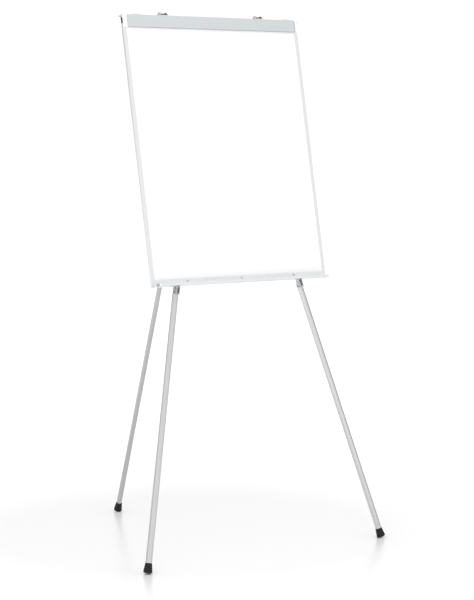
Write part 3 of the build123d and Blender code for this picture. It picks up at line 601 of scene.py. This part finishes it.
def foot_points(base_middle, down, side, socket, steps=72):
    """A ferrule whose height runs up the leg from the middle of its base."""
    profile = rounded_profile(
        [
            (foot_base, 0.0, base_round),
            (foot_top + brim_taper, foot_high - brim_low, brim_round),
            (foot_top, foot_high, lip_round),
            (socket, foot_high, fine_edge),
            (socket, foot_sole, fine_edge),
            (0.0, foot_sole, 0.0),
            (0.0, 0.0, 0.0),
            (0.003, 0.0, fine_edge),
            (0.0034, tread, fine_edge),
            (0.0052, tread, fine_edge),
            (0.0056, 0.0, fine_edge),
            (0.0076, 0.0, fine_edge),
            (0.008, tread, fine_edge),
            (0.0096, tread, fine_edge),
            (0.01, 0.0, fine_edge),
        ]
    )
    return turned_points(profile, base_middle, -down, side, steps)


# %% Feet
front_length, rear_length = 0.90246299, 1.78705575
front_socket, rear_socket = 0.01004, 0.00854
for side, name in sides:
    base = front_pivot[side] + front_down[side] * front_length
    ferrule = foot_points(base, front_down[side], front_hinge[side], front_socket)
    stand_in(f"{name}_ferrule", f"{name}_foot", ferrule, black_rubber, close_rows=True)
rear_base = rear_pivot + rear_down * rear_length
ferrule = foot_points(rear_base, rear_down, across, rear_socket)
stand_in("rear_ferrule", "rear_foot", ferrule, black_rubber, close_rows=True)
print("rear foot stands at", rear_base.round(4))

# %% [markdown]
# ## Screws with a cross in the head
# The ledge is held by three pan-head screws and the brackets by countersunk ones. A screw is
# turned from its tip to the middle of its face. Then the face sinks wherever it lies in one of
# the two arms of a cross, deepest in the middle, as a driver's point would press it. A Boolean
# could cut the cross, but pressing the grid keeps every face a clean quad.


# %% Screw surface
def screw_points(profile, centre, axis, turn, reach=0.0021, arm=0.00052, depth=0.0013, steps=96):
    """Spins a profile and presses a cross in its face.

    With u and v the distances along the two arms, a point sinks by
    depth x how far it is inside an arm's side x how far it is inside the arm's reach.
    """
    slope, fade = 0.00018, 0.7 * reach
    profile = np.asarray(profile, float)
    rim = np.linspace(1.0, 0.0, 15)[1:, None]
    face = profile[-1] * np.concatenate([rim, np.ones_like(rim)], axis=1)
    radius, height = np.concatenate([profile, face]).T
    angle = np.linspace(0.0, 2.0 * math.pi, steps, endpoint=False)
    u, v = radius[:, None] * np.cos(angle), radius[:, None] * np.sin(angle)
    near, far = np.minimum(abs(u), abs(v)), np.maximum(abs(u), abs(v))
    inside = np.clip((arm - near) / slope, 0.0, 1.0) * np.clip((reach - far) / fade, 0.0, 1.0)
    on_face = (np.arange(len(radius)) >= len(profile) - 1)[:, None]
    height = height[:, None] - depth * inside * on_face
    first = across * math.cos(turn) + np.cross(axis, across) * math.sin(turn)
    second = np.cross(axis, first)
    return centre + height[..., None] * axis + u[..., None] * first + v[..., None] * second


def screw_row(name, node, centres, axis, profile):
    """A piece of several like screws, each cross turned its own way."""
    first_turn, turn_step = 0.4, 1.9
    turns = first_turn + turn_step * np.arange(len(centres))
    screws = [screw_points(profile, centre, axis, turn) for centre, turn in zip(centres, turns)]
    return stand_in(name, node, np.stack(screws), zinc)


# %% Screw profiles
tip_radius, shank_radius, tip_taper = 0.0011, 0.00175, 0.0008
pan_radius, pan_side, pan_round = 0.0035, 0.0007, 0.0011


def shank(length):
    """The start of a screw's profile: the middle of its tip, the tip's rim and the shank."""
    return [(0.0, -length), (tip_radius, -length), (shank_radius, tip_taper - length)]


arc = np.linspace(0.0, math.pi / 2, 7)
pan_edge_radius = pan_radius - pan_round + pan_round * np.cos(arc)
pan_edge = np.stack([pan_edge_radius, pan_side + pan_round * np.sin(arc)], axis=1)
pan_head = [(shank_radius, 0.0), (pan_radius, 0.0)]
flat_head = [(shank_radius, -0.0014), (0.00313, -0.00002), (0.003, 0.0)]
print("pan heads stand", round(1000 * (pan_side + pan_round), 2), "mm high")

# %% Screws of the ledge and the brackets
ledge_wall, ledge_screw_s, ledge_screw_x = 0.0015, 0.016, (-0.213, 0.0, 0.213)
ledge_spots = [on_board(x, ledge_screw_s, ledge_wall) for x in ledge_screw_x]
pan_profile = np.concatenate([shank(0.006) + pan_head, pan_edge])
screw_row("ledge_screw_heads", "ledge_screws", ledge_spots, out_board, pan_profile)

plate_inside, front_screw_places = 0.0103, (0.015, 0.025)
front_spots = [
    front_pivot[side] - front_down[side] * place + out_board * plate_inside
    for side, name in sides
    for place in front_screw_places
]
front_profile = shank(0.0078) + flat_head
screw_row("bracket_screw_heads", "bracket_screws", front_spots, -out_board, front_profile)

rear_plate_n, rear_screw_places = -0.011, (0.01, 0.018)
rear_spots = [on_board(0.0, rear_pivot_s + place, rear_plate_n) for place in rear_screw_places]
rear_profile = shank(0.006) + flat_head
screw_row("rear_screw_heads", "rear_bracket_screws", rear_spots, -out_board, rear_profile)
print("screws:", len(ledge_spots) + len(front_spots) + len(rear_spots))

# %% [markdown]
# ## Rivets and pegs
# The hinge pins are rivets, with low round heads and the dimple that the riveting tool leaves.
# The pad hooks end in mushroom pegs. Plain cylinders would catch no light at their rims, so all
# are turned from profiles with rounded corners.


# %% Rivets
def rivet(name, node, pivot, axis, side, half, head_radius, head_height, edge):
    """A rivet about the axis, half its length to each side of the pivot, the same at both ends."""
    body_radius, dimple = 0.003, 0.0004
    dimple_rim, dimple_floor = 0.45 * body_radius, 0.3 * body_radius
    neck = half - head_height
    far_half = [
        (body_radius, neck, 0.0),
        (head_radius, neck, 0.0001),
        (head_radius, half, edge),
        (dimple_rim, half, 0.0002),
        (dimple_floor, half - dimple, 0.0002),
        (0.0, half - dimple, 0.0),
    ]
    near_half = [(r, -h, e) for r, h, e in reversed(far_half)]
    profile = rounded_profile(near_half + far_half, 6)
    return stand_in(name, node, turned_points(profile, pivot, axis, side, 64), zinc)


front_rivet = {"half": 0.0092, "head_radius": 0.0045, "head_height": 0.0012, "edge": 0.0009}
rear_rivet = {"half": 0.0144, "head_radius": 0.0055, "head_height": 0.002, "edge": 0.0014}
for side, name in sides:
    directions = front_pivot[side], front_hinge[side], front_down[side]
    rivet(f"{name}_rivet", f"{name}_leg_pin", *directions, **front_rivet)
rivet("rear_rivet", "rear_leg_pin", rear_pivot, across, rear_down, **rear_rivet)
print("rivets, mm long:", [round(2000 * pin["half"], 1) for pin in (front_rivet, rear_rivet)])


# %% Pegs
def peg(name, node, x, peg_s=0.88495):
    """A mushroom peg that stands out of its tab at x."""
    tail, neck, reach = 0.0001, 0.0075, 0.009
    stem, head = 0.002, 0.004
    crisp, domed = 0.0003, 0.0009
    corners = [
        (0.0, -tail, 0.0),
        (stem, -tail, crisp),
        (stem, neck, crisp),
        (head, neck, crisp),
        (head, reach, domed),
        (0.0, reach, 0.0),
    ]
    profile = rounded_profile(corners, 6)
    points = turned_points(profile, on_board(x, peg_s, 0.0), out_board, across, 56)
    return stand_in(name, node, points, zinc)


hook_place, peg_offset = {"left": -0.191, "right": 0.191}, -0.0165
for name, place in hook_place.items():
    peg(f"{name}_peg_head", f"{name}_hook_peg", place + peg_offset)
print("pegs at", [round(place + peg_offset, 4) for place in hook_place.values()])

# %% [markdown]
# ## Bars carried along the board
# The rubber strip that presses the paper is carried round under the clamp's foot, and shows
# there as a thin grey line: a painted shadow line under the clamp. A thin grey plate on the
# clamp's right end only is painted shade of that end. Over each notch in the rail the clamp has
# a tab as high as the rail, so that the top edge runs on in one line. Boxes with a Bevel could
# stand for the last three, but one rule makes all four: a section carried along x, drawn as
# closed to a point in the middle of each end.


# %% Bars
def bar_points(section, left, right, middle):
    """The section's (s, n) corners at both ends of the run, between two rings of the middle."""
    ring = np.broadcast_to(middle, section.shape)
    s, n = np.stack([ring, section, section, ring]).transpose(2, 0, 1)
    return on_board(np.array([left, left, right, right])[:, None], s, n)


def block_points(left, right, low, high, back, front, edge):
    """A bar whose (s, n) section is a rectangle with rounded corners."""
    corners = [(low, back, edge), (high, back, edge), (high, front, edge), (low, front, edge)]
    section = rounded_profile(corners)
    return bar_points(section, left, right, section.mean(axis=0))


# %% Rubber lip, a painted shadow line
# Painted shadow: the grey lip under the clamp's foot stands in for the shadow line beneath it.
strip_top, groove_low, lip_top, lip_low = 0.8440, 0.8400, 0.8381, 0.8371
strip_back, groove_back, groove_front, lip_front = 0.00425, 0.0049, 0.0052, 0.0081
lip_section = rounded_profile(
    [
        (strip_top, strip_back, 0.0002),
        (strip_top, groove_front, 0.0),
        (groove_low, groove_front, 0.0),
        (groove_low, groove_back, 0.0),
        (lip_top, groove_back, 0.0),
        (lip_top, lip_front, 0.0002),
        (lip_low, lip_front, 0.0004),
        (lip_low, strip_back, 0.0004),
    ],
    4,
)
lip_middle = (0.8376, 0.0045)
shadow_lip = bar_points(lip_section, -clamp_half, clamp_half, lip_middle)
stand_in("clamp_lip_painted_shadow", "clamp_grip", shadow_lip, grey_rubber)
print("rubber lip is", round(1000 * (lip_top - lip_low), 2), "mm thick")

# %% End plate of painted shade, and tabs
# Painted shade: a grey plate on the right end only stands in for that end's shade.
shade_plate = block_points(0.3331, 0.3368, low=0.838, high=0.876, back=0.0062, front=0.0082, edge=0.0006)
grid_piece("clamp_end_painted_shade", shade_plate, "clamp", shade_plate_plastic)

notch_near, notch_far = 0.2855, 0.3145
tab_size = {"low": 0.8758, "high": 0.8799, "back": 0.0062, "front": 0.008, "edge": 0.0004}
for side, name in sides:
    left, right = sorted((side * notch_near, side * notch_far))
    tab = block_points(left, right, **tab_size)
    grid_piece(f"{name}_clamp_tab", tab, "clamp", clamp_metal)
print("each tab fills", round(1000 * (notch_far - notch_near), 1), "mm of rail")

# %% [markdown]
# ## Finger grips of the pad hooks
# Each hook is pushed along the rail by a black tab with a hump at one end. The tab is a rounded
# bar carried along x: its section stays the same, while its height follows the hump, with fine
# ribs across the hump for the finger. Sculpting would give a softer hump, but a formula gives
# two like grips, and ribs that are all the same distance apart.


# %% Grips
def grip_points(place, length=0.026, depth=0.0094, low=0.8817, rise=0.0038, edge=0.0011):
    """A bar along x: s = low + v x (rise + hump(x) + ribs(x)), n = w x depth.

    (w, v) is a point of the section. Towards each end the section shrinks as a quarter circle
    does, which rounds the end's edge.
    """
    right_end, front, rib_height, rib_pitch = 0.017, 0.0023, 0.00022, 0.0013
    hump_middle, hump_half, hump_rise = 0.75 * length, 0.005, 0.003
    low_edge, high_edge, fineness = 0.08, 0.28, 7
    corners = [(-1, 0, low_edge), (0, 0, low_edge), (0, 1, high_edge), (-1, 1, high_edge)]
    w, v = rounded_profile(corners, fineness).T
    end_curve = edge * (1 - np.cos(np.linspace(0, math.pi / 2, 6)))
    straight = np.linspace(edge, length - edge, 121)[1:-1]
    x = np.concatenate([end_curve, straight, length - end_curve[::-1]])
    from_end = np.clip(np.minimum(x, length - x) / edge, 0.0, 1.0)
    shrink = edge * (1.0 - np.sqrt(1.0 - (1.0 - from_end) ** 2))
    from_hump = np.clip(abs(x - hump_middle) / hump_half, 0.0, 1.0)
    hump = hump_rise * np.cos(from_hump * math.pi / 2) ** 1.5
    wave = np.cos(2 * math.pi * (x - hump_middle) / rib_pitch)
    height = rise + hump + rib_height * wave * (from_hump < 0.95) - 2 * shrink
    n = front + w * (depth - 2 * shrink)[:, None] - shrink[:, None]
    s = low + shrink[:, None] + v * height[:, None]
    rings = on_board((place + right_end - length + x)[:, None], s, n)
    ends = [np.broadcast_to(rings[i].mean(axis=0), rings[:1].shape) for i in (0, -1)]
    return np.concatenate([ends[0], rings, ends[1]])


for name, place in hook_place.items():
    stand_in(f"{name}_finger_grip", f"{name}_hook_grip", grip_points(place), black_plastic)
print("hooks dressed at", hook_place)

# %% [markdown]
# ## The lock knob
# Behind the board a knob with five soft lobes tightens the telescoping leg. Five cylinders could
# be joined to a sixth, but the hollows between them would be sharp. Here its radius is a core
# plus a wave of the angle, and each row of its profile says how much of both it has.

# %% Knob rows
upper_tube_end, lock_beyond = 0.864, 0.009
lock_place = rear_down * (upper_tube_end + lock_beyond) + rear_pivot
rear_back = np.cross(across, rear_down)
knob_rows = [
    (0.0, 0.0, 0.0109),
    (0.003, 0.0, 0.0109),
    (0.003, 0.0, 0.0216),
    (0.0068, 0.0006, 0.0216),
    (0.0088, 0.0018, 0.0219),
    (0.0092, 0.0026, 0.0226),
    (0.0092, 0.0028, 0.0245),
    (0.0092, 0.0028, 0.0268),
    (0.0092, 0.0028, 0.029),
    (0.0091, 0.0026, 0.0303),
    (0.0087, 0.0021, 0.0311),
    (0.008, 0.0012, 0.0315),
    (0.0068, 0.0004, 0.0316),
    (0.0056, 0.0, 0.0315),
    (0.005, 0.0, 0.0311),
    (0.0044, 0.0, 0.0305),
    (0.002, 0.0, 0.0303),
    (0.0, 0.0, 0.0303),
]


# %% Knob
def knob_points(rows, lobes=5, softness=0.7, steps=160):
    """Radius = core + lobe x (half a cosine wave, once for each lobe) to the power softness.

    The rows are (core, lobe, height), from the screw's end in the tube to the knob's face.
    """
    core, lobe, height = np.array(rows).T[:, :, None]
    angle = np.linspace(0.0, 2.0 * math.pi, steps, endpoint=False)
    radius = core + lobe * (0.5 + 0.5 * np.cos(lobes * angle)) ** softness
    other = np.cross(rear_back, across)
    spoke = np.cos(angle)[:, None] * across + np.sin(angle)[:, None] * other
    return lock_place + height[..., None] * rear_back + radius[..., None] * spoke


stand_in("lock_knob", "lock_screw", knob_points(knob_rows), black_plastic, 50.0)
print("lock knob at", lock_place.round(4))

# %% [markdown]
# ## The studio
# A pale floor runs back to a white wall of light. The camera sees plain white behind the easel,
# while the metal sees a room with bright and dim sides, which is what gives round tubes their
# edges. A real backdrop sheet could be curved up behind, but it would shade itself. The floor
# has a weak gloss, so each foot trails a short soft reflection.


# %% Floor
def build_floor(half_size=60.0, near=0.65, far=2.2, base=0.93, far_glow=0.3):
    """A wide level sheet, glossy and pale, with a painted glow that grows from the near to the far
    distance.
    """
    mesh = bpy.data.meshes.new("floor")
    corners = half_size * np.array([[-1.0, -1, 0], [1, -1, 0], [1, 1, 0], [-1, 1, 0]])
    mesh.from_pydata(corners, [], [(0, 1, 2, 3)])
    floor = bpy.data.objects.new("floor", mesh)
    bpy.context.scene.collection.objects.link(floor)
    surface = {"Roughness": 0.26, "IOR": 1.45, "Base_Color": (base, base, base, 1.0)}
    material, tree, shader = new_material("pale_floor", Emission_Strength=1.0, **surface)
    place = add_node(tree, "ShaderNodeTexCoord").outputs["Object"]
    away = add_node(tree, "ShaderNodeVectorMath", {"operation": "LENGTH"}, _0=place)
    # Painted light: the floor's emission glows more with distance from the middle.
    glow = spread(tree, away.outputs["Value"], 0.0, far_glow, near, far)
    tree.links.new(glow, shader.inputs["Emission Color"])
    mesh.materials.append(material)
    return floor


floor = build_floor()
print("floor laid:", len(floor.data.vertices), "corners")


# %% Levels of light
def blend_levels(tree, factor, low, high):
    """The low level where the factor is 0, the high one where it is 1."""
    mix = add_node(tree, "ShaderNodeMix", {"data_type": "FLOAT"}, _0=factor, _2=low, _3=high)
    return mix.outputs[0]


# %% Room light
def build_room(side_level=0.42, front_level=1.0, back_level=1.05, top_level=1.0, seen_level=1.05):
    """White for the camera; for the easel, a bright front, dim sides and a bright wall behind.

    The cosine of the angle from the camera's own direction is 1 behind the easel and -1 in
    front of it, so two ramps of that cosine place the front and the wall.
    """
    front_ramp, wall_ramp, top_ramp = (0.35, -0.35), (0.92, 0.99), (0.25, 0.75)
    world = bpy.data.worlds.new("room")
    bpy.context.scene.world = world
    world.use_nodes = True
    tree = world.node_tree
    tree.nodes.clear()
    direction = add_node(tree, "ShaderNodeTexCoord").outputs["Generated"]
    parts = add_node(tree, "ShaderNodeSeparateXYZ", _0=direction).outputs
    turn = math_node(tree, "ARCTAN2", parts[1], parts[0])
    off_axis = math_node(tree, "SUBTRACT", turn, math.pi / 2 - camera_yaw)
    ahead = math_node(tree, "COSINE", off_axis)
    front = spread(tree, ahead, side_level, front_level, *front_ramp)
    wall = spread(tree, ahead, 0.0, 1.0, *wall_ramp)
    around = blend_levels(tree, wall, front, back_level)
    top = spread(tree, parts[2], 0.0, 1.0, *top_ramp)
    whole = blend_levels(tree, top, around, top_level)
    seen = add_node(tree, "ShaderNodeLightPath").outputs["Is Camera Ray"]
    light = blend_levels(tree, seen, whole, seen_level)
    white = (1.0, 1.0, 1.0, 1.0)
    shine = add_node(tree, "ShaderNodeBackground", Color=white, Strength=light)
    output = add_node(tree, "ShaderNodeOutputWorld")
    tree.links.new(shine.outputs[0], output.inputs["Surface"])
    return world


room = build_room()
print("room light:", len(room.node_tree.nodes), "nodes")


# %% Lamps
def soft_box(name, place, target, size, watts):
    """A square area lamp at a place, facing a target, that no shiny surface mirrors."""
    data = bpy.data.lights.new(name, "AREA")
    data.shape, data.size, data.energy = "SQUARE", size, watts
    lamp = bpy.data.objects.new(name, data)
    lamp.location = place
    lamp.visible_glossy = False
    aim = Vector(target) - Vector(place)
    lamp.rotation_euler = aim.to_track_quat("-Z", "Y").to_euler()
    bpy.context.scene.collection.objects.link(lamp)
    return lamp


key_box = soft_box("key_box", (-3.0, -3.5, 3.6), (0.0, 0.0, 0.9), 2.4, 45.0)
front_lamp = soft_box("front_lamp", (0.0, -3.6, 1.9), (0.0, 0.0, 0.6), 0.35, 6.0)
print("lamps, watts:", key_box.data.energy, front_lamp.data.energy)

# %% [markdown]
# ## The picture
# A film-like view transform would turn white to grey. The standard one keeps the white of the
# board and the paper-white background as white as they are in print.

# %% Finish
bpy.context.scene.view_settings.view_transform = "Standard"
bpy.context.scene.view_settings.look = "None"
